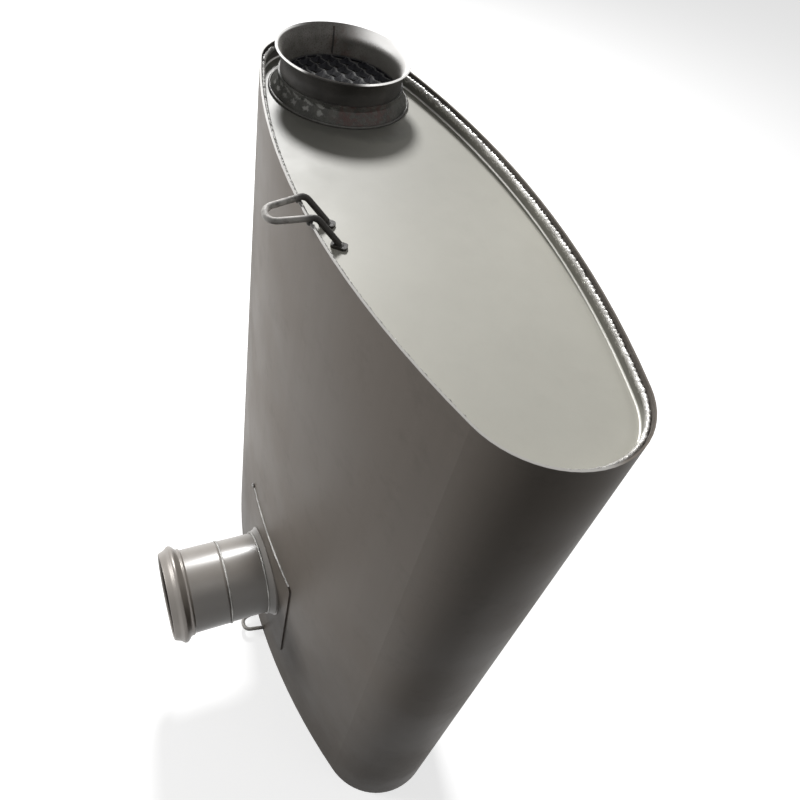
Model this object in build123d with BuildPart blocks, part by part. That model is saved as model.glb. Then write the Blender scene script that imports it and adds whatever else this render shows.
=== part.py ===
"""Oval welded muffler, standing on its lower rim: side inlet pipe, screened outlet neck on the top end, two wire hooks.

Origin at the centre of the part's footprint, on the plane of the lower rim. +X runs along the oval's long axis,
the inlet pipe points to -Y and +Z runs up the shell.
"""

import os
from math import atan2, cos, degrees, hypot, radians, sin, sqrt

from build123d import *

# Shell: one rolled sheet, its section made of two end arcs and two long side arcs
shell_half_length = 310.0
shell_half_width = 113.0
shell_end_radius = 78.5
shell_height = 782.0
shell_wall = 2.0

# Pressed end plates, let into the shell with their flanges turned outwards
end_sheet = 2.0
end_bend = 6.0
end_flange = 13.0
end_recess = 18.0
plate_gap = 0.3
end_weld_width = 3.5
end_weld_height = 2.6

# Outlet neck with its collar and screen
outlet_end_distance = 99.0
outlet_radius = 63.5
outlet_wall = 2.0
outlet_lip_radius = 70.0
outlet_flare_radius = 20.0
outlet_rise = 26.0
outlet_tail = 30.0
collar_sheet = 2.0
collar_foot_radius = 72.0
collar_height = 18.0
collar_band = 5.0
collar_weld = 3.0
screen_drop = 5.0
screen_thickness = 3.0
screen_seat = 0.8
screen_ledge = 0.8
screen_hole = 9.5
screen_pitch = 21.0
screen_row = 11.0
screen_turn = 63.0
screen_border = 2.5

# Inlet pipe in two lengths, with a foot ring and a saddle plate where it meets the shell
inlet_x = 9.0
inlet_z = 170.0
inlet_radius = 57.15
inlet_wall = 2.5
inlet_reach = 251.0
seam_reach = 174.0
stub_step = 0.6
stub_tail = 16.0
ridge_radius = 66.0
ridge_back = 14.5
heel_back = 25.0
shoulder_radius = 62.0
shoulder_back = 8.0
inlet_lip_radius = 58.5
bead_bend = 2.5
seam_weld_width = 3.0
seam_weld_height = 0.8
foot_radius = 63.5
foot_sheet = 1.5
foot_height = 8.0
inlet_weld = 2.5
saddle_width = 170.0
saddle_height = 190.0
saddle_corner = 6.0
saddle_sheet = 2.0

# Baffles and tubes inside the shell
baffle_sheet = 1.5
baffle_flange = 15.0
baffle_bend = 5.0
lower_baffle_z = 330.0
upper_baffle_z = 560.0
inner_wall = 1.5
outlet_tube_tail = 60.0
transfer_radius = 44.0
transfer_tail = 55.0
transfer_places = {"transfer_tube_left": -40.0, "transfer_tube_right": 150.0}
inlet_tube_lap = 15.0
inlet_tube_clearance = 14.0
cap_sheet = 1.5
cap_skirt = 12.0
slot_width = 7.0
slot_length = 20.0
slot_pitch = 34.0
slot_count = 8
slot_margin = 24.0

# Wire hooks
hook_wire = 2.8
hook_span = 31.0
hook_rim_inset = 7.0
top_hook_x = 12.7
top_hook_reach = 33.0
top_hook_slant = 13.0
top_hook_bend = 8.0
top_hook_tip_bend = 13.0
top_hook_foot_shift = 13.0
top_hook_foot_inset = 24.0
foot_pad_length = 14.0
foot_pad_width = 9.0
foot_pad_sheet = 2.5
bottom_hook_x = 10.5
bottom_hook_z = 12.0
bottom_hook_reach = 28.0
bottom_hook_lean = 6.0
bottom_hook_bend = 10.0

# Clearances
slip_gap = 0.2
weld_gap = 0.1
saddle_gap = 0.2

# Places worked out from the sizes above
side_radius = (shell_half_length**2 - 2 * shell_half_length * shell_end_radius + shell_half_width**2) / (
    2 * (shell_half_width - shell_end_radius)
)
end_centre = shell_half_length - shell_end_radius
side_centre = side_radius - shell_half_width
join_angle = degrees(atan2(side_centre, end_centre))
shell_y = (inlet_reach - shell_half_width) / 2
outlet_x = outlet_end_distance - shell_half_length
top_floor = shell_height - end_recess
plate_inset = shell_wall + plate_gap
outlet_throat = outlet_radius - outlet_wall
outlet_top = shell_height + outlet_rise
outlet_tube_bore = outlet_throat - screen_ledge
outlet_tube_radius = outlet_tube_bore - slip_gap
screen_top = shell_height - screen_drop
screen_foot = screen_top - screen_thickness
screen_seat_radius = outlet_throat + screen_seat
stub_radius = inlet_radius - stub_step
stub_start = shell_half_width - shell_wall - stub_tail
inlet_tube_radius = stub_radius - inlet_wall - slip_gap
saddle_stack = saddle_gap + saddle_sheet

outlet_axis = Axis((outlet_x, shell_y, 0), (0, 0, 1))
outlet_section = Plane(origin=(outlet_x, shell_y, 0), x_dir=(1, 0, 0), z_dir=(0, -1, 0))
inlet_plane = Plane(origin=(inlet_x, shell_y, inlet_z), x_dir=(1, 0, 0), z_dir=(0, -1, 0))
inlet_section = Plane(origin=inlet_plane.origin, x_dir=(0, 0, 1), z_dir=(1, 0, 0))
inlet_axis = Axis(inlet_plane.origin, inlet_plane.z_dir)


def level(z, x=0.0):
    """Horizontal plane at height z, with its origin over the shell's long axis at x."""
    return Plane(origin=(x, shell_y, z))


def side_reach(x):
    """How far the shell's side stands out from its long axis at x."""
    return sqrt(side_radius**2 - x**2) - side_centre


class Oval(BaseSketchObject):
    """The shell's section, drawn in by inset all round."""

    def __init__(self, inset=0.0, mode=Mode.ADD):
        end = shell_end_radius - inset
        side = side_radius - inset
        with BuildSketch() as section:
            with BuildLine():
                CenterArc((end_centre, 0), end, -join_angle, 2 * join_angle)
                CenterArc((0, -side_centre), side, join_angle, 180 - 2 * join_angle)
                CenterArc((-end_centre, 0), end, 180 - join_angle, 2 * join_angle)
                CenterArc((0, side_centre), side, 180 + join_angle, 180 - 2 * join_angle)
            make_face()
        super().__init__(obj=section.sketch, rotation=0, align=None, mode=mode)


def pan(floor, sheet, bend, flange):
    """Pressed oval pan: its floor's upper face at height floor, its flange turned up."""
    with BuildPart() as body:
        with BuildSketch(level(floor - sheet)):
            Oval(plate_inset)
        extrude(amount=sheet + flange)
        chamfer(body.faces().sort_by(Axis.Z)[0].edges(), bend)
        offset(amount=-sheet, openings=body.faces().sort_by(Axis.Z)[-1])
    return body.part


def oval_weld(foot):
    """Weld bead that runs round inside the shell and stands on a flange's edge at height foot."""
    with BuildPart() as body:
        with BuildSketch(level(foot)):
            Oval(shell_wall + weld_gap)
            Oval(shell_wall + weld_gap + end_weld_width, mode=Mode.SUBTRACT)
        extrude(amount=end_weld_height)
        chamfer(body.faces().sort_by(Axis.Z)[-1].edges(), end_weld_height / 2)
    return body.part


def tube(foot, length, radius, wall):
    """Plain round tube that stands on the plane foot."""
    with BuildPart() as body:
        with BuildSketch(foot):
            Circle(radius)
            Circle(radius - wall, mode=Mode.SUBTRACT)
        extrude(amount=length)
    return body.part


def cut_slots(foot, start, end, reach):
    """Cut staggered rows of slots through a tube's wall, between two heights over the plane foot."""
    rows = int((end - start) // slot_pitch) + 1
    first = (start + end - (rows - 1) * slot_pitch) / 2
    for row in range(rows):
        stagger = row % 2 * 180 / slot_count
        with Locations(foot.offset(first + row * slot_pitch).location):
            with PolarLocations(0, slot_count, start_angle=stagger):
                Box(
                    reach,
                    slot_width,
                    slot_length,
                    align=(Align.MIN, Align.CENTER, Align.CENTER),
                    mode=Mode.SUBTRACT,
                )


def bend_wire(points, bends):
    """Round wire along straight runs joined by arcs."""
    with BuildPart() as body:
        with BuildLine() as path:
            FilletPolyline(*points, radius=bends)
        with BuildSketch(Plane(origin=path.line @ 0, z_dir=path.line % 0)):
            Circle(hook_wire)
        sweep(path=path.line)
    return body.part


# Shell and ends
with BuildPart() as shell:
    with BuildSketch(level(0)):
        Oval()
        Oval(shell_wall, mode=Mode.SUBTRACT)
    extrude(amount=shell_height)
    with BuildSketch(inlet_plane):
        Circle(stub_radius + slip_gap)
    extrude(amount=shell_half_width + shell_wall, mode=Mode.SUBTRACT)
shell.part.label = "shell"

with BuildPart() as top_end_plate:
    add(pan(top_floor, end_sheet, end_bend, end_flange))
    with BuildSketch(level(top_floor, outlet_x)):
        Circle(outlet_radius + slip_gap)
    extrude(amount=-end_sheet, mode=Mode.SUBTRACT)
top_end_plate.part.label = "top_end_plate"

with BuildPart() as bottom_end_plate:
    mirror(pan(top_floor, end_sheet, end_bend, end_flange), about=level(shell_height / 2))
bottom_end_plate.part.label = "bottom_end_plate"

with BuildPart() as top_end_weld:
    add(oval_weld(top_floor + end_flange))
top_end_weld.part.label = "top_end_weld"

with BuildPart() as bottom_end_weld:
    mirror(oval_weld(top_floor + end_flange), about=level(shell_height / 2))
bottom_end_weld.part.label = "bottom_end_weld"

# Outlet: a neck with its top rolled out, a collar round its foot and a mesh screen in a groove of its bore
lip_spread = outlet_lip_radius - outlet_radius
flare_height = sqrt(outlet_flare_radius**2 - (outlet_flare_radius - lip_spread) ** 2)
flare_turn = degrees(atan2(flare_height, outlet_flare_radius - lip_spread))
flare_foot = outlet_top - flare_height - outlet_wall * sin(radians(flare_turn))
with BuildPart() as outlet_neck:
    with BuildSketch(outlet_section):
        with BuildLine():
            Line((outlet_radius, top_floor - outlet_tail), (outlet_radius, flare_foot))
            CenterArc((outlet_radius + outlet_flare_radius, flare_foot), outlet_flare_radius, 180, -flare_turn)
            offset(amount=outlet_wall, side=Side.LEFT)
        make_face()
    revolve(axis=outlet_axis)
    with BuildSketch(level(screen_foot - slip_gap, outlet_x)):
        Circle(outlet_throat)
        Circle(outlet_tube_bore, mode=Mode.SUBTRACT)
    extrude(amount=top_floor - outlet_tail - screen_foot + slip_gap)
    with BuildSketch(level(screen_foot - slip_gap, outlet_x)):
        Circle(screen_seat_radius)
    extrude(amount=screen_thickness + 2 * slip_gap, mode=Mode.SUBTRACT)
outlet_neck.part.label = "outlet_neck"

collar_bore = outlet_radius + slip_gap
collar_top = top_floor + collar_height
with BuildPart() as outlet_collar:
    with BuildSketch(outlet_section):
        with BuildLine():
            Polyline(
                (collar_bore, collar_top),
                (collar_bore + collar_sheet, collar_top),
                (collar_bore + collar_sheet, collar_top - collar_band),
                (collar_foot_radius, top_floor + collar_sheet),
                (collar_foot_radius, top_floor),
                (collar_foot_radius - collar_sheet, top_floor),
                (collar_bore, collar_top - collar_band),
                close=True,
            )
        make_face()
    revolve(axis=outlet_axis)
outlet_collar.part.label = "outlet_collar"

with BuildPart() as outlet_collar_weld:
    with BuildSketch(outlet_section):
        with BuildLine():
            Polyline(
                (collar_foot_radius + weld_gap, top_floor),
                (collar_foot_radius + weld_gap + collar_weld, top_floor),
                (collar_foot_radius + weld_gap, top_floor + collar_weld),
                close=True,
            )
        make_face()
    revolve(axis=outlet_axis)
outlet_collar_weld.part.label = "outlet_collar_weld"

mesh_radius = screen_seat_radius - slip_gap
mesh_room = mesh_radius - screen_border - screen_hole / sqrt(2)
mesh_rows = int(mesh_room // screen_row)
mesh_columns = int(mesh_room // screen_pitch) + 1
mesh_holes = [
    ((column + row % 2 / 2) * screen_pitch, row * screen_row)
    for row in range(-mesh_rows, mesh_rows + 1)
    for column in range(-mesh_columns, mesh_columns + 1)
]
mesh_x = (cos(radians(screen_turn)), sin(radians(screen_turn)), 0)
with BuildPart() as outlet_screen:
    with BuildSketch(Plane(origin=(outlet_x, shell_y, screen_foot), x_dir=mesh_x, z_dir=(0, 0, 1))):
        Circle(mesh_radius)
        with Locations(*[place for place in mesh_holes if hypot(*place) < mesh_room]):
            Rectangle(screen_hole, screen_hole, rotation=45, mode=Mode.SUBTRACT)
    extrude(amount=screen_thickness)
outlet_screen.part.label = "outlet_screen"

outlet_tube_foot = level(upper_baffle_z - outlet_tube_tail, outlet_x)
with BuildPart() as outlet_tube:
    add(tube(outlet_tube_foot, screen_foot - outlet_tube_foot.origin.Z, outlet_tube_radius, inner_wall))
    cut_slots(
        outlet_tube_foot,
        outlet_tube_tail + slot_margin,
        top_floor - outlet_tail - slot_margin - outlet_tube_foot.origin.Z,
        outlet_radius,
    )
outlet_tube.part.label = "outlet_tube"

# Inlet: an outer length with a pressed bead, a stub through the shell, and what seals the joint
with BuildPart() as inlet_pipe:
    with BuildSketch(inlet_section):
        with BuildLine():
            Polyline(
                (inlet_radius, seam_reach),
                (inlet_radius, inlet_reach - heel_back - bead_bend),
                (inlet_radius + 0.25 * bead_bend, inlet_reach - heel_back + bead_bend / 2),
                (ridge_radius, inlet_reach - ridge_back - bead_bend / 2),
                (ridge_radius, inlet_reach - ridge_back + bead_bend / 2),
                (shoulder_radius, inlet_reach - shoulder_back),
                (inlet_lip_radius, inlet_reach),
            )
            offset(amount=inlet_wall, side=Side.LEFT, kind=Kind.INTERSECTION)
        make_face()
    revolve(axis=inlet_axis)
inlet_pipe.part.label = "inlet_pipe"

with BuildPart() as inlet_seam_weld:
    with BuildSketch(inlet_section):
        with BuildLine():
            Polyline(
                (stub_radius + weld_gap, seam_reach - seam_weld_width / 2),
                (stub_radius + weld_gap, seam_reach),
                (inlet_radius + weld_gap, seam_reach),
                (inlet_radius + weld_gap, seam_reach + seam_weld_width / 2),
                (inlet_radius + seam_weld_height, seam_reach),
                close=True,
            )
        make_face()
    revolve(axis=inlet_axis)
inlet_seam_weld.part.label = "inlet_seam_weld"

with BuildPart() as inlet_stub:
    add(tube(inlet_plane.offset(stub_start), seam_reach - stub_start, stub_radius, inlet_wall))
inlet_stub.part.label = "inlet_stub"

with BuildPart() as inlet_saddle:
    with BuildSketch(level(inlet_z - saddle_height / 2)):
        Oval(-saddle_stack)
        Oval(-saddle_gap, mode=Mode.SUBTRACT)
    extrude(amount=saddle_height)
    with BuildSketch(inlet_plane):
        RectangleRounded(saddle_width, saddle_height, saddle_corner)
        Circle(stub_radius + slip_gap, mode=Mode.SUBTRACT)
    extrude(amount=shell_half_width + saddle_stack, mode=Mode.INTERSECT)
inlet_saddle.part.label = "inlet_saddle"

foot_bore = stub_radius + slip_gap
foot_top = shell_half_width + saddle_stack + foot_height
with BuildPart() as inlet_foot_ring:
    with BuildSketch(level(inlet_z - foot_radius)):
        Oval(-saddle_stack - foot_sheet)
    extrude(amount=2 * foot_radius)
    with BuildSketch(inlet_plane):
        Circle(foot_radius)
    extrude(amount=shell_half_width + saddle_stack + foot_sheet, mode=Mode.INTERSECT)
    with BuildSketch(inlet_section):
        with BuildLine():
            Polyline(
                (0, stub_start),
                (0, foot_top),
                (foot_bore + foot_sheet, foot_top),
                (foot_radius - foot_sheet, foot_top - foot_height),
                (foot_radius - foot_sheet, stub_start),
                close=True,
            )
        make_face()
    revolve(axis=inlet_axis)
    with BuildSketch(inlet_plane):
        Circle(foot_bore)
    extrude(amount=foot_top, mode=Mode.SUBTRACT)
    with BuildSketch(level(inlet_z - foot_radius)):
        Oval(-saddle_stack)
    extrude(amount=2 * foot_radius, mode=Mode.SUBTRACT)
inlet_foot_ring.part.label = "inlet_foot_ring"

with BuildPart() as inlet_foot_weld:
    with BuildSketch(inlet_section):
        with BuildLine():
            Polyline(
                (stub_radius + weld_gap, foot_top),
                (stub_radius + weld_gap + inlet_weld, foot_top),
                (stub_radius + weld_gap, foot_top + inlet_weld),
                close=True,
            )
        make_face()
    revolve(axis=inlet_axis)
inlet_foot_weld.part.label = "inlet_foot_weld"

inlet_tube_end = shell_half_width - shell_wall - inlet_tube_clearance
inlet_tube_foot = inlet_plane.offset(-inlet_tube_end)
with BuildPart() as inlet_tube:
    add(tube(inlet_tube_foot, inlet_tube_end + stub_start + inlet_tube_lap, inlet_tube_radius, inner_wall))
    cut_slots(
        inlet_tube_foot,
        cap_skirt + slot_margin,
        inlet_tube_end + stub_start - slot_margin,
        inlet_radius,
    )
inlet_tube.part.label = "inlet_tube"

with BuildPart() as inlet_tube_cap:
    with BuildSketch(inlet_tube_foot.offset(-cap_sheet)):
        Circle(inlet_tube_radius + slip_gap + cap_sheet)
    extrude(amount=cap_sheet + cap_skirt)
    offset(amount=-cap_sheet, openings=inlet_tube_cap.faces().sort_by(Axis.Y)[0])
inlet_tube_cap.part.label = "inlet_tube_cap"

# Baffles, and the transfer tubes that pass through both of them
with BuildPart() as lower_baffle:
    add(pan(lower_baffle_z, baffle_sheet, baffle_bend, baffle_flange))
    with BuildSketch(level(lower_baffle_z)):
        with Locations(*[(x, 0) for x in transfer_places.values()]):
            Circle(transfer_radius + slip_gap)
    extrude(amount=-baffle_sheet, mode=Mode.SUBTRACT)
lower_baffle.part.label = "lower_baffle"

with BuildPart() as upper_baffle:
    add(pan(upper_baffle_z, baffle_sheet, baffle_bend, baffle_flange))
    with BuildSketch(level(upper_baffle_z)):
        with Locations(*[(x, 0) for x in transfer_places.values()]):
            Circle(transfer_radius + slip_gap)
        with Locations((outlet_x, 0)):
            Circle(outlet_tube_radius + slip_gap)
    extrude(amount=-baffle_sheet, mode=Mode.SUBTRACT)
upper_baffle.part.label = "upper_baffle"

transfer_tubes = []
transfer_length = upper_baffle_z - lower_baffle_z + 2 * transfer_tail
for name, x in transfer_places.items():
    transfer_foot = level(lower_baffle_z - transfer_tail, x)
    with BuildPart() as transfer_tube:
        add(tube(transfer_foot, transfer_length, transfer_radius, inner_wall))
        cut_slots(
            transfer_foot,
            transfer_tail + slot_margin,
            transfer_length - transfer_tail - slot_margin,
            transfer_radius,
        )
    transfer_tube.part.label = name
    transfer_tubes.append(transfer_tube)

# Hooks: the top one runs over the rim to two flattened feet, the bottom one ends on the shell's side
side = side_reach(top_hook_x)
left, right = top_hook_x - hook_span / 2, top_hook_x + hook_span / 2
over_rim = shell_height + hook_wire + slip_gap
on_plate = top_floor + hook_wire
tip_y = shell_y - side - top_hook_reach
foot_y = shell_y - side + top_hook_foot_inset
rim_y = shell_y - side + hook_rim_inset
top_hook_points = [
    (left + top_hook_foot_shift, foot_y, on_plate),
    (left, rim_y, over_rim),
    (left + top_hook_slant, tip_y, over_rim),
    (right, tip_y, over_rim),
    (right, rim_y, over_rim),
    (right + top_hook_foot_shift, foot_y, on_plate),
]
foot_turn = degrees(atan2(foot_y - rim_y, top_hook_foot_shift))
with BuildPart() as top_hook:
    add(bend_wire(top_hook_points, (top_hook_bend, top_hook_tip_bend, top_hook_bend, top_hook_bend)))
    with BuildSketch(Plane(origin=(0, 0, top_floor))):
        with Locations(top_hook_points[0][:2], top_hook_points[-1][:2]):
            RectangleRounded(foot_pad_length, foot_pad_width, hook_wire, rotation=foot_turn)
    extrude(amount=foot_pad_sheet)
top_hook.part.label = "top_hook"

side = side_reach(bottom_hook_x)
left, right = bottom_hook_x - hook_span / 2, bottom_hook_x + hook_span / 2
tip_y = shell_y - side - bottom_hook_reach
rim_y = shell_y - side + hook_rim_inset
bottom_hook_points = [
    (left, rim_y, bottom_hook_z),
    (left + bottom_hook_lean, tip_y, bottom_hook_z),
    (right - bottom_hook_lean, tip_y, bottom_hook_z),
    (right, rim_y, bottom_hook_z),
]
with BuildPart() as bottom_hook:
    add(bend_wire(bottom_hook_points, (bottom_hook_bend, bottom_hook_bend)))
    with BuildSketch(level(0)):
        Oval(-weld_gap)
    extrude(amount=2 * bottom_hook_z, mode=Mode.SUBTRACT)
bottom_hook.part.label = "bottom_hook"

os.makedirs("parts", exist_ok=True)
pieces = [
    shell,
    top_end_plate,
    bottom_end_plate,
    top_end_weld,
    bottom_end_weld,
    outlet_neck,
    outlet_collar,
    outlet_collar_weld,
    outlet_screen,
    outlet_tube,
    inlet_pipe,
    inlet_seam_weld,
    inlet_stub,
    inlet_saddle,
    inlet_foot_ring,
    inlet_foot_weld,
    inlet_tube,
    inlet_tube_cap,
    lower_baffle,
    upper_baffle,
    *transfer_tubes,
    top_hook,
    bottom_hook,
]
for piece in pieces:
    export_step(piece.part, f"parts/{piece.part.label}.step")
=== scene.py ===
import math

import bmesh
import bpy
from mathutils import Matrix, Vector, noise


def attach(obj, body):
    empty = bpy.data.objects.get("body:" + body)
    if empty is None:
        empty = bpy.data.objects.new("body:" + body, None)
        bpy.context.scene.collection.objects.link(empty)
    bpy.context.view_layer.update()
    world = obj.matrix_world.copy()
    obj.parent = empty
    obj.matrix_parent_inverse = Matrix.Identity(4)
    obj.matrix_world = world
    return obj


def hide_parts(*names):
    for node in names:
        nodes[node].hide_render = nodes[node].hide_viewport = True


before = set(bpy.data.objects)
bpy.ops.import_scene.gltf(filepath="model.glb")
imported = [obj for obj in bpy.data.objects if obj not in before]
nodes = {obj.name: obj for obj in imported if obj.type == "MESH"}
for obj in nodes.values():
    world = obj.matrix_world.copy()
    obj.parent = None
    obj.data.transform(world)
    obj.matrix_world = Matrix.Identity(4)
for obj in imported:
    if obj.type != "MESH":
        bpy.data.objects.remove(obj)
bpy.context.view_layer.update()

scene = bpy.context.scene

# Camera: place and direction worked out from the photo's vanishing points, in the part's own frame
PHOTO_SIDE = 800
PHOTO_FOCAL = 730
SENSOR_MM = 36
CAMERA_PLACE = Vector((0.49093, -0.22552, 1.13115))
CAMERA_FORWARD = Vector((-0.562802, 0.381638, -0.733216))
CAMERA_UP = Vector((-0.735357, 0.173936, 0.654978))

camera_data = bpy.data.cameras.new("camera")
camera_data.sensor_width = SENSOR_MM
camera_data.lens = PHOTO_FOCAL / PHOTO_SIDE * SENSOR_MM
camera_data.clip_start = 0.01
camera = bpy.data.objects.new("camera", camera_data)
right = CAMERA_FORWARD.cross(CAMERA_UP).normalized()
up = right.cross(CAMERA_FORWARD).normalized()
axes = Matrix((right, up, -CAMERA_FORWARD.normalized())).transposed()
camera.matrix_world = Matrix.Translation(CAMERA_PLACE) @ axes.to_4x4()
scene.collection.objects.link(camera)
scene.camera = camera

X, Y, UP = Vector((1, 0, 0)), Vector((0, 1, 0)), Vector((0, 0, 1))
MM = 0.001

# Sizes of the CAD model that the pieces below follow, in metres
SHELL_Y = 0.069
SHELL_HALF_LENGTH = 0.310
SHELL_HALF_WIDTH = 0.113
SHELL_END_RADIUS = 0.0785
SHELL_HEIGHT = 0.782
NEAR_FACE = SHELL_Y - SHELL_HALF_WIDTH
TOP_FLOOR = 0.764
PLATE_SHEET = 0.002
PLATE_INSET = 0.0023
PLATE_RIM = 0.777
PLATE_HOLE = 0.0637
OUTLET_X = -0.211
OUTLET = Vector((OUTLET_X, SHELL_Y, 0))
OUTLET_THROAT = 0.0615
SCREEN_Z = 0.7755
INLET = Vector((0.009, SHELL_Y, 0.170))
INLET_SEAM = 0.174
SADDLE_STACK = 0.0022
SADDLE_HALF_WIDTH = 0.079
FOOT_HEIGHT = 0.008

# The neck's flare: height where it starts, radius of the middle of its sheet, and how far from the outlet's
# axis that arc has its centre
FLARE_FOOT = 0.791768
FLARE_RADIUS = 0.021
FLARE_CENTRE = 0.0835

# The shell's section: two end arcs and two side arcs that meet where both normals point JOIN off the X axis
SIDE_RADIUS = (SHELL_HALF_LENGTH**2 - 2 * SHELL_HALF_LENGTH * SHELL_END_RADIUS + SHELL_HALF_WIDTH**2) / (
    2 * (SHELL_HALF_WIDTH - SHELL_END_RADIUS)
)
END_CENTRE = SHELL_HALF_LENGTH - SHELL_END_RADIUS
SIDE_CENTRE = SIDE_RADIUS - SHELL_HALF_WIDTH
JOIN = math.atan2(SIDE_CENTRE, END_CENTRE)

# Colours in linear light. Tones are a light and a dark colour that a noise mixes.
SHELL_TONES = (0.275, 0.242, 0.212), (0.221, 0.195, 0.170)
PLATE_TONES = (0.575, 0.563, 0.500), (0.510, 0.498, 0.440)
PIPE_TONES = (0.329, 0.300, 0.270), (0.257, 0.234, 0.210)
INNER_TONES = (0.321, 0.314, 0.3), (0.257, 0.25, 0.236)
BEAD_TONES = (0.72, 0.71, 0.68), (0.14, 0.136, 0.127)
RIM_BEAD_TONES = (0.84, 0.83, 0.80), (0.26, 0.25, 0.235)
DULL_BEAD_TONES = (0.121, 0.118, 0.107), (0.036, 0.034, 0.03)
TACK_TONES = (0.039, 0.036, 0.032), (0.014, 0.013, 0.011)
WIRE_TONES = (0.061, 0.056, 0.05), (0.027, 0.025, 0.023)
NECK_TONES = (0.079, 0.074, 0.069), (0.046, 0.044, 0.041)
BORE_TONES = (0.257, 0.246, 0.229), (0.15, 0.143, 0.132)
COLLAR_TONES = (0.114, 0.113, 0.101), (0.054, 0.054, 0.048)
MESH_TONES = (0.013, 0.013, 0.016), (0.004, 0.004, 0.006)
# Painted shade on the shell, towards its foot and the outlet's end
SHELL_SHADE = (0.072, 0.061, 0.050)
# Painted shade on the shell's face inside the rim
RIM_SHADE = (0.107, 0.1, 0.093)
# Painted highlight on the shell's top edge
RIM_HIGHLIGHT = (0.643, 0.629, 0.6)
# Painted shadow and shade round the outlet collar
NECK_SHADOW = (0.086, 0.084, 0.076)
# Painted shade on the plate's flange
FLANGE_SHADE = (0.121, 0.118, 0.111)
# Painted highlight on the plate's pressed fold
FOLD_HIGHLIGHT = (0.95, 0.94, 0.91)
SPATTER = (0.88, 0.87, 0.84)
# Painted shade on the near side of the rim weld
NEAR_BEAD_SHADE = (0.329, 0.321, 0.3)
TACK_RUST = (0.057, 0.032, 0.025)
# Painted light on the hook's loop
LOOP_LIGHT = (0.66, 0.635, 0.60)
BORE_SPECK = (0.093, 0.075, 0.064)
# Painted light on one side of the bore
BORE_LIGHT = (0.571, 0.557, 0.529)
BORE_RUST = (0.114, 0.061, 0.05)
# Painted highlight on the neck's flare and lip
LIP_HIGHLIGHT = (0.93, 0.92, 0.90)
# Painted highlight on the screen's strands
STRAND_HIGHLIGHT = (0.214, 0.214, 0.211)
COLLAR_SPECK = (0.429, 0.421, 0.393)
COLLAR_RUST = (0.1, 0.039, 0.033)
WORN_MARK = (0.607, 0.607, 0.579)

# Worn marks on the collar: first angle and pitch in degrees, and for each row its height, half height,
# share of the pitch, slant and strength
MARK_START = 87.0
MARK_PITCH = 12.6
MARK_ROWS = ((0.7718, 0.0021, 0.26, 0.0, 0.9), (0.7775, 0.0016, 0.38, 0.0020, 0.75))

# Scale of the noise on rough steel, and depth of the bumps in metres
ROUGH_SCALE = 150
BUMP_DEPTH = 0.0006

# Angle in degrees from which an edge of the pressed plate stays sharp
SHARP_ANGLE = 40


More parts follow.
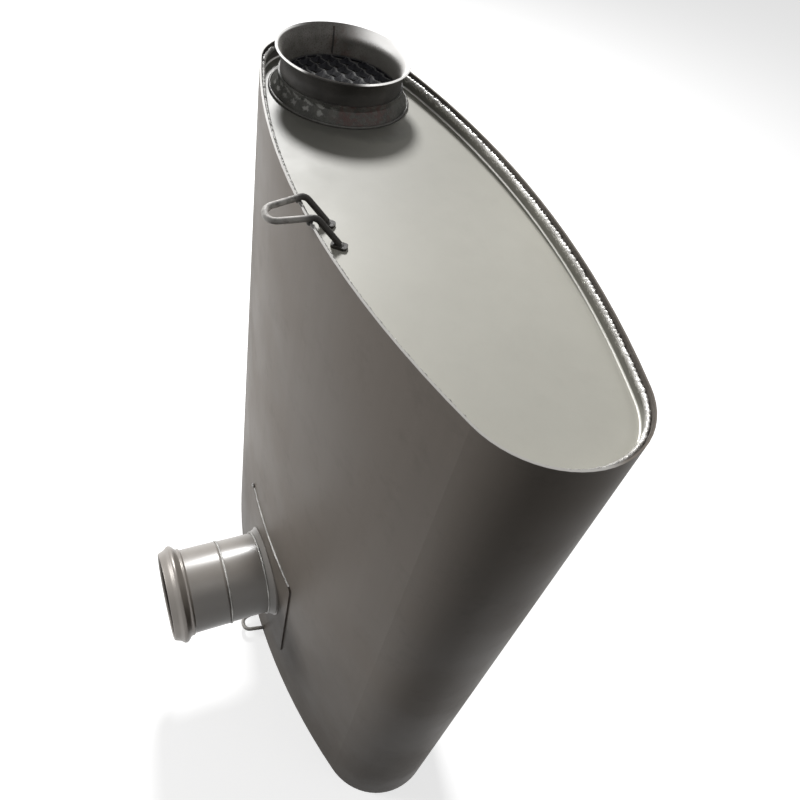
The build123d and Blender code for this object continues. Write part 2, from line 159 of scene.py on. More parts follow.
# Materials
class Nodes:
    """A material, with short names for the node types that the materials share."""

    def __init__(self, name, rough, metal, spec=0.5):
        self.mat = bpy.data.materials.new(name)
        self.mat.use_nodes = True
        self.tree = self.mat.node_tree
        self.shader = self.tree.nodes["Principled BSDF"]
        self.shader.inputs["Roughness"].default_value = rough
        self.shader.inputs["Metallic"].default_value = metal
        self.shader.inputs["Specular IOR Level"].default_value = spec
        coords = self.tree.nodes.new("ShaderNodeTexCoord")
        self.place = coords.outputs["Object"]
        split = self.tree.nodes.new("ShaderNodeSeparateXYZ")
        self.link(self.place, split.inputs[0])
        self.x, self.y, self.z = split.outputs

    def link(self, a, b):
        self.tree.links.new(a, b)

    def put(self, value, socket):
        if hasattr(value, "links"):
            self.link(value, socket)
        else:
            socket.default_value = value

    def math(self, op, a, b=0.0, clamp=False):
        node = self.tree.nodes.new("ShaderNodeMath")
        node.operation = op
        node.use_clamp = clamp
        self.put(a, node.inputs[0])
        self.put(b, node.inputs[1])
        return node.outputs[0]

    def plus(self, a, b, clamp=False):
        return self.math("ADD", a, b, clamp)

    def minus(self, a, b):
        return self.math("SUBTRACT", a, b)

    def times(self, a, b):
        return self.math("MULTIPLY", a, b)

    def over(self, a, b):
        return self.math("DIVIDE", a, b)

    def most(self, a, b):
        return self.math("MAXIMUM", a, b)

    def length(self, a, b):
        """Length of the two-part vector (a, b)."""
        return self.math("SQRT", self.plus(self.times(a, a), self.times(b, b)))

    def noise(self, scale, detail, rough, stretch=(1, 1, 1), seed=0.0):
        mapping = self.tree.nodes.new("ShaderNodeMapping")
        mapping.inputs["Scale"].default_value = stretch
        mapping.inputs["Location"].default_value = (seed, seed * 0.7, -seed)
        self.link(self.place, mapping.inputs["Vector"])
        node = self.tree.nodes.new("ShaderNodeTexNoise")
        node.inputs["Scale"].default_value = scale
        node.inputs["Detail"].default_value = detail
        node.inputs["Roughness"].default_value = rough
        self.link(mapping.outputs[0], node.inputs["Vector"])
        return node.outputs["Fac"]

    def sway(self, value, reach):
        """A noise's value, moved to lie round 0 and spread over the reach."""
        return self.times(self.minus(value, 0.5), reach)

    def ramp(self, value, low, high, out_low=0.0, out_high=1.0):
        """Smooth step from low to high, which falls where low is the greater of the two."""
        node = self.tree.nodes.new("ShaderNodeMapRange")
        node.interpolation_type = "SMOOTHSTEP"
        self.put(value, node.inputs["Value"])
        sockets = "From Min", "From Max", "To Min", "To Max"
        for socket, number in zip(sockets, (low, high, out_low, out_high)):
            node.inputs[socket].default_value = number
        return node.outputs["Result"]

    def band(self, value, start, full, fading, gone):
        """0 outside start and gone, 1 from full to fading."""
        return self.times(self.ramp(value, start, full), self.ramp(value, gone, fading))

    def blend(self, fac, a, b):
        node = self.tree.nodes.new("ShaderNodeMix")
        node.data_type = "RGBA"
        self.put(fac, node.inputs["Factor"])
        colors = [s for s in node.inputs if s.type == "RGBA"]
        for value, socket in zip((a, b), colors):
            self.put((*value, 1) if isinstance(value, tuple) else value, socket)
        return next(s for s in node.outputs if s.type == "RGBA")

    def tones(self, fac, pair):
        """The dark tone of a pair where fac is 0, the light one where it is 1."""
        light, dark = pair
        return self.blend(fac, dark, light)

    def bump(self, height, strength, depth=BUMP_DEPTH):
        node = self.tree.nodes.new("ShaderNodeBump")
        node.inputs["Strength"].default_value = strength
        node.inputs["Distance"].default_value = depth
        self.link(height, node.inputs["Height"])
        self.link(node.outputs[0], self.shader.inputs["Normal"])

    def base(self):
        """The colour that the shader has so far."""
        return self.shader.inputs["Base Color"].links[0].from_socket

    def color(self, value):
        self.link(value, self.shader.inputs["Base Color"])

    def rough(self, value):
        self.link(value, self.shader.inputs["Roughness"])

    def metal(self, value):
        self.link(value, self.shader.inputs["Metallic"])


def sheet_steel(name, tones, rough, metal, streak=0.5, stain=0.35, spec=0.5):
    """Satin sheet: fine grain, soft blotches and faint streaks down the sheet."""
    n = Nodes(name, rough, metal, spec)
    blotch = n.ramp(n.noise(7, 5, 0.6), 0.35, 0.7)
    streaks = n.noise(60, 3, 0.6, stretch=(1, 1, 0.05), seed=3.1)
    grain = n.noise(900, 2, 0.5, seed=5.7)
    mark = n.times(n.ramp(n.noise(24, 6, 0.7, seed=9.3), 0.5, 0.72), stain)
    tone = n.plus(n.times(blotch, 0.45), n.times(streaks, streak), clamp=True)
    tone = n.plus(tone, n.sway(grain, 0.25), clamp=True)
    stained = tuple(c * 0.8 for c in tones[1])
    n.color(n.blend(mark, n.tones(tone, tones), stained))
    n.rough(n.plus(rough - 0.06, n.times(blotch, 0.12)))
    n.bump(n.plus(n.times(grain, 0.25), n.times(streaks, 0.4)), 0.06)
    return n


def rough_steel(name, tones, rough, metal, bump, rust=None, spec=0.5):
    """Welds and scaled sheet: uneven tone, pits and an optional rusty tint."""
    n = Nodes(name, rough, metal, spec)
    big = n.ramp(n.noise(ROUGH_SCALE * 0.18, 5, 0.6), 0.36, 0.66)
    fine = n.noise(ROUGH_SCALE * 4, 5, 0.7, seed=2.2)
    tone = n.plus(n.times(big, 0.6), n.times(fine, 0.5), clamp=True)
    color = n.tones(tone, tones)
    if rust:
        spots = n.ramp(n.noise(ROUGH_SCALE * 0.3, 6, 0.7, seed=6.4), 0.52, 0.68)
        color = n.blend(n.times(spots, 0.7), color, rust)
    n.color(color)
    n.rough(n.ramp(fine, 0.3, 0.7, rough - 0.12, rough + 0.15))
    n.bump(fine, bump)
    return n


def plate_sheet(name):
    """The clean sheet of both end plates."""
    return sheet_steel(name, PLATE_TONES, rough=0.5, metal=0.0, streak=0.3, stain=0.12, spec=0.3)


def far_side(n):
    """0 on the near long side of the rim, 1 on the far one."""
    return n.ramp(n.y, SHELL_Y - 0.02, SHELL_Y + 0.05)


def outlet_coords(n):
    """Turn about the outlet's axis, in degrees from +X, and distance from it."""
    across = n.minus(n.x, OUTLET.x)
    along = n.minus(n.y, OUTLET.y)
    turn = n.times(n.math("ARCTAN2", along, across), 180 / math.pi)
    return turn, n.length(across, along)


def shell_material():
    """Stained satin sheet with painted shade towards its foot, towards the outlet's end and on its face
    inside the rim, and a painted highlight along the near side's top edge.
    """
    n = sheet_steel("shell_steel", SHELL_TONES, rough=0.45, metal=0.0, spec=0.07)
    wander = n.sway(n.noise(9, 4, 0.6, seed=4.9), 0.12)
    # Painted shade: the sheet darkens towards its foot and towards the outlet's end
    low = n.times(n.ramp(n.plus(n.z, wander), 0.42, -0.02), 0.9)
    outlet_end_shade = n.times(n.ramp(n.x, -0.10, -0.26), 0.65)
    color = n.blend(n.most(low, outlet_end_shade), n.base(), SHELL_SHADE)
    # The depth under the shell's outer face finds the face inside the rim, which gets painted shade
    across = n.math("ABSOLUTE", n.x)
    along = n.math("ABSOLUTE", n.minus(n.y, SHELL_Y))
    side_depth = n.minus(SIDE_RADIUS, n.length(across, n.plus(along, SIDE_CENTRE)))
    end_depth = n.minus(SHELL_END_RADIUS, n.length(n.minus(across, END_CENTRE), along))
    at_end = n.math("GREATER_THAN", across, END_CENTRE + SHELL_END_RADIUS * math.cos(JOIN))
    depth = n.plus(n.times(side_depth, n.minus(1.0, at_end)), n.times(end_depth, at_end))
    inner = n.math("GREATER_THAN", depth, 0.0015)
    color = n.blend(n.times(inner, 0.6), color, RIM_SHADE)
    # Painted highlight along the top edge, on the near side only
    top_face = n.ramp(n.z, SHELL_HEIGHT - 0.0007, SHELL_HEIGHT - 0.0002)
    top_highlight = n.times(top_face, n.ramp(far_side(n), 0.6, 0.1))
    n.color(n.blend(n.times(top_highlight, 0.85), color, RIM_HIGHLIGHT))
    return n.mat


def plate_material():
    """Pale satin sheet with the neck's shadow painted on the side of the collar that faces the plate's
    length, and a wider painted shade round it.
    """
    n = plate_sheet("stained_shadowed_plate")
    turn, radius = outlet_coords(n)
    # Painted shadow of the neck, and a wider painted shade round the collar
    stray = n.plus(radius, n.sway(n.noise(30, 4, 0.6, seed=7.7), 0.03))
    near = n.ramp(stray, 0.125, 0.078)
    front = n.band(turn, -105.0, -65.0, 15.0, 60.0)
    neck_shadow = n.times(n.times(near, front), 0.75)
    wide_shade = n.times(n.ramp(stray, 0.31, 0.09), n.ramp(turn, 10.0, -50.0, 0.36, 0.68))
    color = n.blend(n.most(neck_shadow, wide_shade), n.base(), NECK_SHADOW)
    # The upturned flange: painted shade on it, a painted highlight along the pressed fold at its foot,
    # spatter from the weld along its top
    flange = n.ramp(n.z, TOP_FLOOR + 0.0012, TOP_FLOOR + 0.0024)
    color = n.blend(n.times(flange, 0.62), color, FLANGE_SHADE)
    # Painted highlight along the pressed fold
    fold_highlight = n.times(n.ramp(n.z, TOP_FLOOR + 0.00004, TOP_FLOOR + 0.0004), n.minus(1.0, flange))
    color = n.blend(n.times(fold_highlight, 0.8), color, FOLD_HIGHLIGHT)
    lift = n.sway(n.noise(160, 4, 0.6, seed=3.9), 0.009)
    high = n.ramp(n.plus(n.z, lift), 0.7705, 0.7735)
    spatter = n.times(n.times(high, n.ramp(n.noise(520, 4, 0.7), 0.42, 0.58)), far_side(n))
    n.color(n.blend(n.times(spatter, 0.85), color, SPATTER))
    n.metal(n.times(n.most(spatter, fold_highlight), 0.75))
    return n.mat


def rim_weld_material():
    """Rough bead, bright along the far side, with painted shade along the near one."""
    n = rough_steel("rim_weld", RIM_BEAD_TONES, rough=0.42, metal=0.0, bump=1.0)
    # Painted shade on the near side
    n.color(n.blend(far_side(n), NEAR_BEAD_SHADE, n.base()))
    n.metal(n.times(far_side(n), 0.8))
    return n.mat


def pipe_material():
    """Satin tube, polished where its end was pressed."""
    n = sheet_steel("pipe_steel", PIPE_TONES, rough=0.36, metal=0.0, streak=0.4, stain=0.15, spec=1.0)
    n.metal(n.ramp(n.y, INLET.y - 0.220, INLET.y - 0.227, 0.0, 0.4))
    return n.mat


def hook_material():
    """Dark wire, with patchy painted light on the loop that hangs outside the shell."""
    n = rough_steel("hook_steel", WIRE_TONES, rough=0.55, metal=0.0, bump=0.2, spec=0.25)
    # Painted light in patches on the loop
    loop = n.ramp(n.y, NEAR_FACE + 0.004, NEAR_FACE - 0.010)
    patchy = n.ramp(n.noise(120, 5, 0.6, seed=1.7), 0.15, 0.55)
    n.color(n.blend(n.times(n.times(loop, patchy), 0.85), n.base(), LOOP_LIGHT))
    return n.mat


def neck_material():
    """Scaled sheet outside, a bore with painted light on one side, and painted highlights on the flare and
    the lip's edge.
    """
    n = Nodes("dark_steel", 0.55, 0.0, spec=0.3)
    turn, radius = outlet_coords(n)
    fine = n.noise(700, 5, 0.7, seed=1.4)
    big = n.noise(28, 5, 0.6, seed=4.4)
    outside = n.tones(n.ramp(big, 0.35, 0.65), NECK_TONES)
    bore = n.tones(n.ramp(big, 0.35, 0.68), BORE_TONES)
    bore = n.blend(n.ramp(fine, 0.48, 0.7), bore, BORE_SPECK)
    # Painted light on one side of the bore
    lit_side = n.band(turn, -10.0, 60.0, 90.0, 165.0)
    bore = n.blend(n.times(lit_side, 0.6), bore, BORE_LIGHT)
    rust_patches = n.ramp(n.noise(60, 5, 0.7, seed=6.1), 0.42, 0.62)
    rust = n.times(n.band(turn, 120.0, 150.0, 168.0, 178.0), rust_patches)
    bore = n.blend(n.times(rust, 0.55), bore, BORE_RUST)
    # The middle of the sheet, which leans outwards in the flare, parts the bore from the outside
    rise = n.most(n.minus(n.z, FLARE_FOOT), 0.0)
    bulge = n.math("SQRT", n.minus(FLARE_RADIUS**2, n.times(rise, rise)))
    inside = n.math("LESS_THAN", radius, n.minus(FLARE_CENTRE, bulge))
    body = n.blend(inside, outside, bore)
    # Painted highlights on the flare and the lip's edge
    highlight_far = n.band(turn, -14.0, 4.0, 125.0, 170.0)
    highlight_near = n.band(turn, -172.0, -135.0, -58.0, -48.0)
    flare_height = n.plus(n.z, n.sway(fine, 0.008))
    flare = n.times(n.ramp(flare_height, 0.7925, 0.8000), n.times(inside, highlight_far))
    edge = n.times(n.ramp(n.z, 0.8048, 0.8066), n.ramp(radius, 0.0662, 0.0676))
    edge = n.times(edge, n.most(highlight_far, highlight_near))
    lip_highlight = n.most(flare, edge)
    n.color(n.blend(lip_highlight, body, LIP_HIGHLIGHT))
    n.metal(n.times(lip_highlight, 0.85))
    n.rough(n.ramp(fine, 0.3, 0.7, 0.42, 0.62))
    n.bump(fine, 0.3)
    return n.mat


def screen_material():
    """Sooty mesh, with a painted highlight along the upper edges of its strands."""
    n = Nodes("screen_steel", 0.6, 0.0, spec=0.12)
    fine = n.noise(500, 5, 0.7, seed=2.6)
    # Painted highlight along the strands' upper edges
    upper = n.ramp(n.z, SCREEN_Z + 0.0008, SCREEN_Z + 0.0016)
    strand_highlight = n.times(upper, n.ramp(fine, 0.25, 0.6))
    n.color(n.blend(n.times(strand_highlight, 0.7), n.tones(fine, MESH_TONES), STRAND_HIGHLIGHT))
    n.bump(fine, 0.4)
    return n.mat


def collar_material():
    """Scaled collar: two rows of bright wear marks on one side, rusty speckle further round."""
    n = Nodes("collar_steel", 0.5, 0.0, spec=0.4)
    turn = outlet_coords(n)[0]
    fine = n.noise(620, 6, 0.75, seed=8.4)
    color = n.tones(n.ramp(n.noise(90, 5, 0.6, seed=2.9), 0.35, 0.65), COLLAR_TONES)
    color = n.blend(n.times(n.ramp(fine, 0.52, 0.72), 0.5), color, COLLAR_SPECK)
    rust_specks = n.ramp(n.noise(160, 6, 0.7, seed=3.3), 0.42, 0.62)
    rust = n.times(n.band(turn, -32.0, -14.0, 20.0, 40.0), rust_specks)
    color = n.blend(n.times(rust, 0.7), color, COLLAR_RUST)
    marked_side = n.band(turn, -104.0, -94.0, -42.0, -18.0)
    warp = n.sway(n.noise(260, 4, 0.65, seed=5.2), 9.0)
    lift = n.sway(n.noise(300, 4, 0.6, seed=11.0), 0.006)
    phase = n.over(n.plus(n.plus(turn, warp), MARK_START), MARK_PITCH)
    wave = n.minus(n.math("FRACT", n.plus(phase, 0.5)), 0.5)
    for height, half_height, share, slant, strength in MARK_ROWS:
        rise = n.minus(n.plus(n.z, lift), height)
        rise = n.plus(rise, n.times(wave, slant))
        a = n.over(wave, share)
        b = n.over(rise, half_height)
        reach = n.plus(n.times(a, a), n.times(b, b))
        reach = n.plus(reach, n.sway(fine, 2.4))
        spot = n.times(n.ramp(reach, 1.3, 0.3), marked_side)
        color = n.blend(n.times(spot, strength), color, WORN_MARK)
    n.color(color)
    n.rough(n.ramp(fine, 0.3, 0.7, 0.38, 0.65))
    n.bump(fine, 0.6, depth=0.0010)
    return n.mat


plate_steel = plate_sheet("end_steel").mat
inner_steel = sheet_steel("inner_steel", INNER_TONES, rough=0.45, metal=0.5).mat
weld_silver = rough_steel("weld_metal", BEAD_TONES, rough=0.42, metal=0.4, bump=1.0).mat
weld_dull = rough_steel("weld_dull", DULL_BEAD_TONES, rough=0.55, metal=0.2, bump=0.7).mat
tack_steel = rough_steel("tack_steel", TACK_TONES, rough=0.75, metal=0.0, bump=0.5, rust=TACK_RUST).mat
shell_steel = shell_material()
neck_steel = neck_material()
collar_steel = collar_material()
hook_steel = hook_material()
pipe_steel = pipe_material()
rim_weld = rim_weld_material()
stained_shaded_plate = plate_material()
screen_steel = screen_material()

CAD_MATERIALS = {
    "shell": shell_steel,
    "top_end_plate": stained_shaded_plate,
    "bottom_end_plate": plate_steel,
    "outlet_neck": neck_steel,
    "outlet_collar": collar_steel,
    "outlet_screen": screen_steel,
    "outlet_tube": inner_steel,
    "inlet_pipe": pipe_steel,
    "inlet_stub": pipe_steel,
    "inlet_foot_ring": pipe_steel,
    "inlet_saddle": shell_steel,
    "inlet_tube": inner_steel,
    "inlet_tube_cap": inner_steel,
    "lower_baffle": inner_steel,
    "upper_baffle": inner_steel,
    "transfer_tube_left": inner_steel,
    "transfer_tube_right": inner_steel,
    "top_hook": hook_steel,
    "bottom_hook": hook_steel,
    "top_end_weld": rim_weld,
    "bottom_end_weld": weld_silver,
    "outlet_collar_weld": weld_dull,
    "inlet_seam_weld": weld_silver,
    "inlet_foot_weld": weld_silver,
}
for name, node in nodes.items():
    node.data.materials.clear()
    node.data.materials.append(CAD_MATERIALS[name])


# Mesh builders
def piece(name, verts, faces, mat, replaces=None, flat=False):
    """Object from a mesh, its faces turned outwards, carried by the part's one body."""
    mesh = bpy.data.meshes.new(name)
    mesh.from_pydata([tuple(v) for v in verts], [], faces)
    mesh.validate()
    work = bmesh.new()
    work.from_mesh(mesh)
    bmesh.ops.recalc_face_normals(work, faces=work.faces)
    work.to_mesh(mesh)
    work.free()
    mesh.polygons.foreach_set("use_smooth", [not flat] * len(mesh.polygons))
    mesh.materials.append(mat)
    obj = bpy.data.objects.new(name, mesh)
    scene.collection.objects.link(obj)
    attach(obj, "root")
    if replaces:
        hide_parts(replaces)
    return obj


def ring_faces(stations, ring, closed=True, first=0):
    """Quads of a swept section: stations along the path, ring points round it, corners counted from first."""
    faces = []
    for i in range(stations if closed else stations - 1):
        j = (i + 1) % stations
        for k in range(ring):
            m = (k + 1) % ring
            faces.append((i * ring + k, j * ring + k, j * ring + m, i * ring + m))
    if not closed:
        faces.append(tuple(range(ring))[::-1])
        faces.append(tuple((stations - 1) * ring + k for k in range(ring)))
    return [tuple(first + corner for corner in face) for face in faces]


def oval_path(inset, step):
    """Points round the shell's section, drawn in by inset, with their outward normals."""
    end, side = SHELL_END_RADIUS - inset, SIDE_RADIUS - inset
    arcs = (
        (END_CENTRE, 0, end, -JOIN, JOIN),
        (0, -SIDE_CENTRE, side, JOIN, math.pi - JOIN),
        (-END_CENTRE, 0, end, math.pi - JOIN, math.pi + JOIN),
        (0, SIDE_CENTRE, side, math.pi + JOIN, 2 * math.pi - JOIN),
    )
    points = []
    for cx, cy, radius, start, stop in arcs:
        count = max(2, round(radius * (stop - start) / step))
        for i in range(count):
            turn = start + (stop - start) * i / count
            out = Vector((math.cos(turn), math.sin(turn), 0))
            points.append((Vector((cx, cy + SHELL_Y, 0)) + out * radius, out))
    return points


def rim_path(inset, step, z, up_dir):
    """Path of a bead inside the shell, at the height z."""
    return [(point + UP * z, out, up_dir) for point, out in oval_path(inset, step)]


def circle_path(centre, second, radius, count, side_of, up_of):
    """Path round a circle, whose plane holds X and the second direction."""
    path = []
    for i in range(count):
        turn = 2 * math.pi * i / count
        out = X * math.cos(turn) + second * math.sin(turn)
        path.append((centre + out * radius, side_of(out), up_of(out)))
    return path


def saddle_path(lift, height, count):
    """Path along the saddle's upper edge, on the shell's round side."""
    path = []
    for i in range(count):
        x = INLET.x - SADDLE_HALF_WIDTH + 2 * SADDLE_HALF_WIDTH * i / (count - 1)
        out = Vector((x, -math.sqrt(SIDE_RADIUS**2 - x * x), 0)).normalized()
        spot = Vector((0, SHELL_Y + SIDE_CENTRE, 0)) + out * (SIDE_RADIUS + lift)
        path.append((spot + UP * (INLET.z + height), (UP - out).normalized(), (out + UP).normalized()))
    return path


def ripple(distance, pitch, seed):
    """Height of a weld bead along its length: overlapping puddles, a slow wander and a quick one."""
    puddle_depth, puddle_power, lowest = 0.35, 0.6, 0.45
    slow_scale, slow_share = 140, 0.28
    quick_scale, quick_share = 900, 0.16
    puddle = (distance / pitch) % 1.0
    scallop = 1 - puddle_depth * (1 - math.sin(math.pi * puddle) ** puddle_power)
    wander = noise.noise(Vector((distance * slow_scale, seed, 0))) * slow_share
    wander += noise.noise(Vector((distance * quick_scale, seed, 4))) * quick_share
    return max(lowest, scallop + wander)


def bead(name, path, mat, replaces=None, *, foot, rise, pitch, seed, grain=0.0003, closed=True):
    """Weld bead along a path of (point, side, up): rippled half-round section, foot wide to either side."""
    ring, grain_scale = 9, 1500
    verts = []
    run = 0.0
    for i, (point, side, up_dir) in enumerate(path):
        if i:
            run += (point - path[i - 1][0]).length
        tall = ripple(run, pitch, seed)
        for k in range(ring):
            turn = math.pi * k / (ring - 1)
            spot = point + side * (foot * math.cos(turn)) + up_dir * (rise * tall * math.sin(turn))
            rough = noise.noise(spot * grain_scale + Vector((seed, 0, 0))) * grain * math.sin(turn)
            verts.append(spot + up_dir * rough)
    return piece(name, verts, ring_faces(len(path), ring, closed), mat, replaces)


# Welds round the two ends
top_rim = rim_path(inset=0.00415, step=0.0011, z=TOP_FLOOR + 0.0109, up_dir=UP)
bead(
    "top_weld_bead", top_rim, rim_weld, "top_end_weld",
    foot=0.0022, rise=0.0040, pitch=0.0052, seed=2.0, grain=0.0012,
)
bottom_rim = rim_path(inset=0.00385, step=0.0016, z=SHELL_HEIGHT - TOP_FLOOR - 0.0131, up_dir=-UP)
bead(
    "bottom_weld_bead", bottom_rim, weld_silver, "bottom_end_weld",
    foot=0.00172, rise=0.0026, pitch=0.0052, seed=5.0,
)


# Top end plate with its tight pressed bend
def pressed_plate():
    """Flat floor with the outlet's hole and an upturned flange, joined by a small bend."""
    bend, border, chamfer, steps, step_length = 0.0014, 0.012, 0.0003, 6, 0.003
    outer = bend + PLATE_SHEET
    inner_face = PLATE_INSET + PLATE_SHEET
    turns = [math.pi / 2 * i / steps for i in range(steps + 1)]
    section = [(border, TOP_FLOOR - PLATE_SHEET)]
    for turn in turns:
        section.append((
            PLATE_INSET + outer * (1 - math.sin(turn)),
            TOP_FLOOR - PLATE_SHEET + outer * (1 - math.cos(turn)),
        ))
    section += [(PLATE_INSET, PLATE_RIM - chamfer), (PLATE_INSET + chamfer, PLATE_RIM)]
    section += [(inner_face - chamfer, PLATE_RIM), (inner_face, PLATE_RIM - chamfer)]
    for turn in turns:
        section.append((inner_face + bend * (1 - math.cos(turn)), TOP_FLOOR + bend * (1 - math.sin(turn))))
    section.append((border, TOP_FLOOR))
    verts = []
    stations = oval_path(0, step_length)
    for point, out in stations:
        hole_edge = OUTLET + (point - out * border - OUTLET).normalized() * PLATE_HOLE
        verts.append(hole_edge + UP * (TOP_FLOOR - PLATE_SHEET))
        verts += [point - out * inset + UP * z for inset, z in section]
        verts.append(hole_edge + UP * TOP_FLOOR)
    plate = piece(
        "top_plate_pressed", verts, ring_faces(len(stations), len(section) + 2), stained_shaded_plate,
        "top_end_plate",
    )
    plate.data.set_sharp_from_angle(angle=math.radians(SHARP_ANGLE))


pressed_plate()


# Beads round the outlet collar and the inlet
collar_circle = circle_path(
    OUTLET + UP * (TOP_FLOOR + 0.0012), Y, radius=0.0735, count=460,
    side_of=lambda out: (out - UP).normalized(), up_of=lambda out: (out + UP).normalized(),
)
bead(
    "collar_weld_bead", collar_circle, weld_dull, "outlet_collar_weld",
    foot=0.0015, rise=0.0013, pitch=0.0045, seed=9.0,
)

seam_circle = circle_path(
    INLET - Y * INLET_SEAM, UP, radius=0.0573, count=300, side_of=lambda out: -Y, up_of=lambda out: out,
)
bead(
    "seam_weld_bead", seam_circle, weld_silver, "inlet_seam_weld",
    foot=0.0013, rise=0.0009, pitch=0.0034, seed=12.0,
)

saddle_edge = saddle_path(lift=0.0006, height=0.0952, count=150)
bead(
    "saddle_weld_bead", saddle_edge, weld_silver,
    foot=0.0015, rise=0.0010, pitch=0.0034, seed=18.0, closed=False,
)

foot_circle = circle_path(
    INLET - Y * (SHELL_HALF_WIDTH + SADDLE_STACK + FOOT_HEIGHT + 0.0009), UP, radius=0.0578, count=330,
    side_of=lambda out: (out + Y).normalized(), up_of=lambda out: (out - Y).normalized(),
)
bead(
    "foot_weld_bead", foot_circle, weld_silver, "inlet_foot_weld",
    foot=0.0013, rise=0.0012, pitch=0.0036, seed=15.0,
)


# Outlet screen of expanded metal
def expanded_screen():
    """Slanted strands of a diamond mesh inside a rolled border ring."""
    mesh_turn = math.radians(63)
    along = Vector((math.cos(mesh_turn), math.sin(mesh_turn), 0))
    across = Vector((-math.sin(mesh_turn), math.cos(mesh_turn), 0))
    centre = OUTLET + UP * SCREEN_Z
    strand_limit = 0.0594
    pitch, row = 0.0200, 0.0110
    rows, columns = 7, 5
    half_sheet, bow_reach = 0.00035, 0.0011
    narrowest, widening = 0.82, 0.30
    # For each of the two strands from a hub: its side, half width, lean in radians and drop
    strand_kinds = ((1, 0.0034, 0.42, 0.0005), (-1, 0.0038, 0.52, 0.0001))
    verts, faces = [], []

    def strand(a, b, wide, lean, drop):
        """Flat strand that stands on a slant, its upper edge always towards the same side of the mesh."""
        run = (b - a).normalized()
        side = run.cross(UP).normalized()
        if side.dot(across) < 0:
            side = -side
        tilt = (UP * math.sin(lean) + side * math.cos(lean)).normalized()
        flat = run.cross(tilt).normalized()
        steps = 6
        faces.extend(ring_faces(steps + 1, 4, closed=False, first=len(verts)))
        for i in range(steps + 1):
            t = i / steps
            bow = side * (bow_reach * math.sin(2 * math.pi * t))
            middle = a.lerp(b, t) + bow - UP * drop
            half = wide * (narrowest + widening * abs(2 * t - 1) ** 2)
            for u, v in ((-1, -1), (1, -1), (1, 1), (-1, 1)):
                verts.append(middle + tilt * (v * half) + flat * (u * half_sheet))

    def clip(a, b):
        """The part of a strand that lies within the border, or None where it is too short."""
        steps, fewest = 24, 5
        inside = [i for i in range(steps + 1) if (a.lerp(b, i / steps) - centre).length <= strand_limit]
        if len(inside) < fewest:
            return None
        return a.lerp(b, inside[0] / steps), a.lerp(b, inside[-1] / steps)

    for r in range(-rows, rows + 1):
        for c in range(-columns, columns + 1):
            hub = centre + along * ((c + r % 2 / 2) * pitch + pitch / 2) + across * (r * row)
            for sign, wide, lean, drop in strand_kinds:
                other = hub + along * (sign * pitch / 2) + across * row
                cut = clip(hub, other)
                if cut:
                    strand(*cut, wide, lean, drop)

    border_ring, border_count = 8, 160
    border_radius, border_half_width, border_half_height = 0.0603, 0.0012, 0.00145
    faces += ring_faces(border_count, border_ring, first=len(verts))
    for i in range(border_count):
        turn = 2 * math.pi * i / border_count
        out = Vector((math.cos(turn), math.sin(turn), 0))
        for k in range(border_ring):
            spin = 2 * math.pi * k / border_ring
            wide = out * (border_radius + border_half_width * math.cos(spin))
            verts.append(centre + wide + UP * (border_half_height * math.sin(spin)))
    return piece("screen_mesh", verts, faces, screen_steel, "outlet_screen", flat=True)


expanded_screen()


# Inlet pipe with its pressed bead
def smooth_profile(points, steps):
    """Catmull-Rom line through the profile's points."""
    line = []
    for i in range(len(points) - 1):
        p0 = points[max(i - 1, 0)]
        p1, p2 = points[i], points[i + 1]
        p3 = points[min(i + 2, len(points) - 1)]
        for s in range(steps):
            t = s / steps
            line.append(tuple(
                0.5 * (
                    2 * b + (c - a) * t + (2 * a - 5 * b + 4 * c - d) * t * t
                    + (3 * b - a - 3 * c + d) * t**3
                )
                for a, b, c, d in zip(p0, p1, p2, p3)
            ))
    line.append(points[-1])
    return line


def inlet_lathe():
    """Tube turned from (radius, reach) points in millimetres, reach counted from the shell's middle."""
    outer = [
        (57.15, 174.0), (57.15, 200.0), (57.15, 219.5), (57.3, 222.6), (58.9, 224.2), (59.5, 225.6),
        (59.2, 227.2), (60.2, 229.2), (62.9, 231.6), (65.2, 234.0), (66.0, 236.4), (65.4, 238.9),
        (63.6, 241.0), (61.9, 243.2), (60.7, 246.0), (59.6, 248.8), (58.9, 250.4),
    ]
    lip = [(58.2, 251.0), (57.2, 250.9), (56.5, 250.2)]
    inner = [
        (56.9, 247.5), (58.2, 244.5), (60.0, 241.6), (62.0, 239.4), (63.2, 237.2), (63.0, 235.0),
        (61.0, 232.6), (58.4, 230.2), (56.6, 227.8), (56.0, 225.4), (55.0, 222.8), (54.65, 220.5),
        (54.65, 200.0), (54.65, 174.0),
    ]
    line = smooth_profile(outer, 4) + smooth_profile(lip, 2) + smooth_profile(inner, 3)
    count = 192
    verts = []
    for i in range(count):
        turn = 2 * math.pi * i / count
        out = X * math.cos(turn) + UP * math.sin(turn)
        for radius, reach in line:
            verts.append(INLET + out * radius * MM - Y * reach * MM)
    faces = ring_faces(count, len(line))
    return piece("inlet_pipe_outer", verts, faces, pipe_steel, "inlet_pipe")


inlet_lathe()


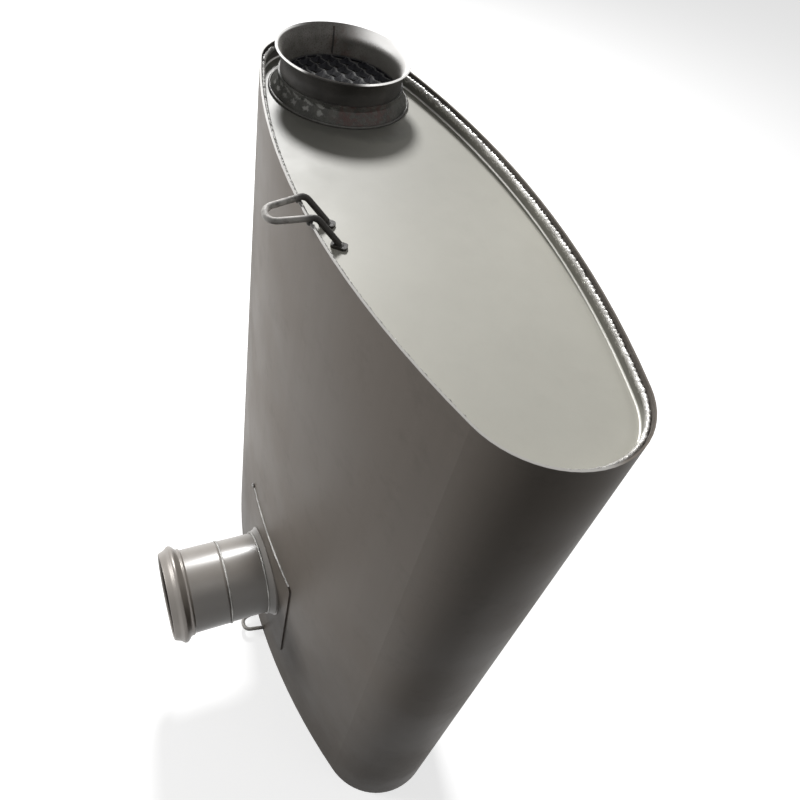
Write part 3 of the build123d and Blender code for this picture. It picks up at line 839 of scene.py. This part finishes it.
# Small welds: neck seam, saddle tack, hook tacks and hook feet
def blob(name, centre, size, mat, seed, turn=0.0):
    """Small lump of weld metal, uneven all round."""
    rows, cols = 12, 20
    lump_share, lump_scale, dent_share, dent_scale = 0.22, 2.4, 0.08, 7
    spin = Matrix.Rotation(turn, 4, "Z")
    ways = [Vector((0, 0, 1))]
    for i in range(1, rows):
        polar = math.pi * i / rows
        level = math.sin(polar)
        for k in range(cols):
            around = 2 * math.pi * k / cols
            ways.append(Vector((level * math.cos(around), level * math.sin(around), math.cos(polar))))
    ways.append(Vector((0, 0, -1)))
    verts = []
    for way in ways:
        swell = 1 + lump_share * noise.noise(way * lump_scale + Vector((seed, 0, 0)))
        swell += dent_share * noise.noise(way * dent_scale + Vector((0, seed, 0)))
        local = Vector((way.x * size[0], way.y * size[1], way.z * size[2])) * swell
        verts.append(centre + spin @ local)
    last = len(verts) - 1
    faces = []
    for k in range(cols):
        m = (k + 1) % cols
        faces.append((0, 1 + k, 1 + m))
        faces.append((last, last - cols + m, last - cols + k))
        for i in range(rows - 2):
            here, below = 1 + i * cols, 1 + (i + 1) * cols
            faces.append((here + k, below + k, below + m, here + m))
    return piece(name, verts, faces, mat)


def neck_seam():
    """Raised seam down the inside of the neck's far wall, which follows the flare."""
    seam_x, seam_y = -0.2713, 0.0798
    foot_z, tall_z, flare_z, flare_tall, flare_out = 0.7785, 0.0268, 0.7918, 0.0162, 0.0060
    half_width, rise, sink = 0.0011, 0.0006, 0.0001
    step, pitch, seed = 0.0007, 0.003, 21.0
    count, ring = 40, 7
    turn = math.atan2(seam_y - SHELL_Y, seam_x - OUTLET_X)
    out = Vector((math.cos(turn), math.sin(turn), 0))
    side = UP.cross(out)
    verts = []
    for i in range(count):
        z = foot_z + tall_z * i / (count - 1)
        flare = max(0.0, (z - flare_z) / flare_tall)
        point = OUTLET + out * (OUTLET_THROAT + flare_out * flare**2) + UP * z
        tall = ripple(i * step, pitch, seed)
        for k in range(ring):
            spin = math.pi * k / (ring - 1)
            height = rise * tall * math.sin(spin) - sink
            verts.append(point + side * (half_width * math.cos(spin)) - out * height)
    piece("neck_seam_weld", verts, ring_faces(count, ring, closed=False), tack_steel)


neck_seam()

# Half sizes of the lumps on the top hook's legs and feet, the feet's turn in radians, and the legs' place
TACK_SIZE = (0.0026, 0.0026, 0.0024)
FOOT_SIZE = (0.0062, 0.0036, 0.0019)
FOOT_TURN = 0.9
rim_y = NEAR_FACE + 0.0012
blob("saddle_tack", Vector((-0.0755, -0.0425, 0.2635)), (0.0030, 0.0018, 0.0034), weld_silver, seed=3.0)
blob("hook_tack_left", Vector((-0.0016, rim_y, 0.7815)), TACK_SIZE, tack_steel, seed=5.0)
blob("hook_tack_right", Vector((0.0288, rim_y, 0.7812)), TACK_SIZE, tack_steel, seed=7.0)
blob("hook_foot_left", Vector((0.0102, -0.0205, 0.7652)), FOOT_SIZE, tack_steel, seed=9.0, turn=FOOT_TURN)
blob("hook_foot_right", Vector((0.0412, -0.0205, 0.7652)), FOOT_SIZE, tack_steel, seed=11.0, turn=FOOT_TURN)


# Lamps, world and floor
def area(name, place, aim, size, watts):
    """Round lamp that shines from its place towards its aim."""
    data = bpy.data.lights.new(name, "AREA")
    data.shape = "DISK"
    data.size = size
    data.energy = watts
    lamp = bpy.data.objects.new(name, data)
    lamp.location = place
    lamp.rotation_euler = (Vector(aim) - Vector(place)).to_track_quat("-Z", "Y").to_euler()
    scene.collection.objects.link(lamp)


area("key", place=(-2.1, 0.45, 2.1), aim=(-0.1, 0.07, 0.76), size=0.45, watts=82)
area("side", place=(-0.8, -1.6, 0.75), aim=(0, 0, 0.5), size=0.8, watts=15.5)
area("over", place=(0.9, 0.6, 2.6), aim=(0.15, 0.07, 0.7), size=0.9, watts=5)

# The world's strength where it isn't seen
WORLD_LIGHT = 0.07

# The floor's grey when seen and to bounced light, its glow, and its reach in metres
FLOOR_GREY = 0.62
FLOOR_BOUNCE = 0.10
FLOOR_GLOW = 0.7
FLOOR_REACH = 9


def seen_rays(tree, light):
    """1 on camera, transmission and glossy rays, 0 on the others."""
    value = light.outputs["Is Camera Ray"]
    for kind in ("Is Transmission Ray", "Is Glossy Ray"):
        node = tree.nodes.new("ShaderNodeMath")
        node.operation = "MAXIMUM"
        tree.links.new(value, node.inputs[0])
        tree.links.new(light.outputs[kind], node.inputs[1])
        value = node.outputs[0]
    return value


def white_world():
    """White where it is seen or mirrored, a faint light elsewhere."""
    world = bpy.data.worlds.new("studio")
    world.use_nodes = True
    tree = world.node_tree
    back = tree.nodes["Background"]
    back.inputs["Color"].default_value = (1, 1, 1, 1)
    light = tree.nodes.new("ShaderNodeLightPath")
    level = tree.nodes.new("ShaderNodeMapRange")
    tree.links.new(seen_rays(tree, light), level.inputs["Value"])
    level.inputs["To Min"].default_value = WORLD_LIGHT
    level.inputs["To Max"].default_value = 1.0
    tree.links.new(level.outputs[0], back.inputs["Strength"])
    return world


def floor_material():
    """Pale floor that keeps the shadow and gives the walls only a little light back."""
    mat = bpy.data.materials.new("floor")
    mat.use_nodes = True
    tree = mat.node_tree
    shader = tree.nodes["Principled BSDF"]
    shader.inputs["Roughness"].default_value = 0.9
    shader.inputs["Specular IOR Level"].default_value = 0.0
    light = tree.nodes.new("ShaderNodeLightPath")
    mix = tree.nodes.new("ShaderNodeMix")
    mix.data_type = "RGBA"
    tree.links.new(light.outputs["Is Diffuse Ray"], mix.inputs["Factor"])
    colors = [s for s in mix.inputs if s.type == "RGBA"]
    for socket, grey in zip(colors, (FLOOR_GREY, FLOOR_BOUNCE)):
        socket.default_value = (grey, grey, grey, 1)
    tree.links.new(next(s for s in mix.outputs if s.type == "RGBA"), shader.inputs["Base Color"])
    glow = tree.nodes.new("ShaderNodeMath")
    glow.operation = "MULTIPLY"
    tree.links.new(seen_rays(tree, light), glow.inputs[0])
    glow.inputs[1].default_value = FLOOR_GLOW
    shader.inputs["Emission Color"].default_value = (1, 1, 1, 1)
    tree.links.new(glow.outputs[0], shader.inputs["Emission Strength"])
    return mat


scene.world = white_world()

floor_mesh = bpy.data.meshes.new("floor")
floor_corners = [(x * FLOOR_REACH, y * FLOOR_REACH, 0) for x, y in ((-1, -1), (1, -1), (1, 1), (-1, 1))]
floor_mesh.from_pydata(floor_corners, [], [(0, 1, 2, 3)])
floor_mesh.materials.append(floor_material())
floor = bpy.data.objects.new("floor", floor_mesh)
scene.collection.objects.link(floor)

scene.view_settings.view_transform = "Standard"
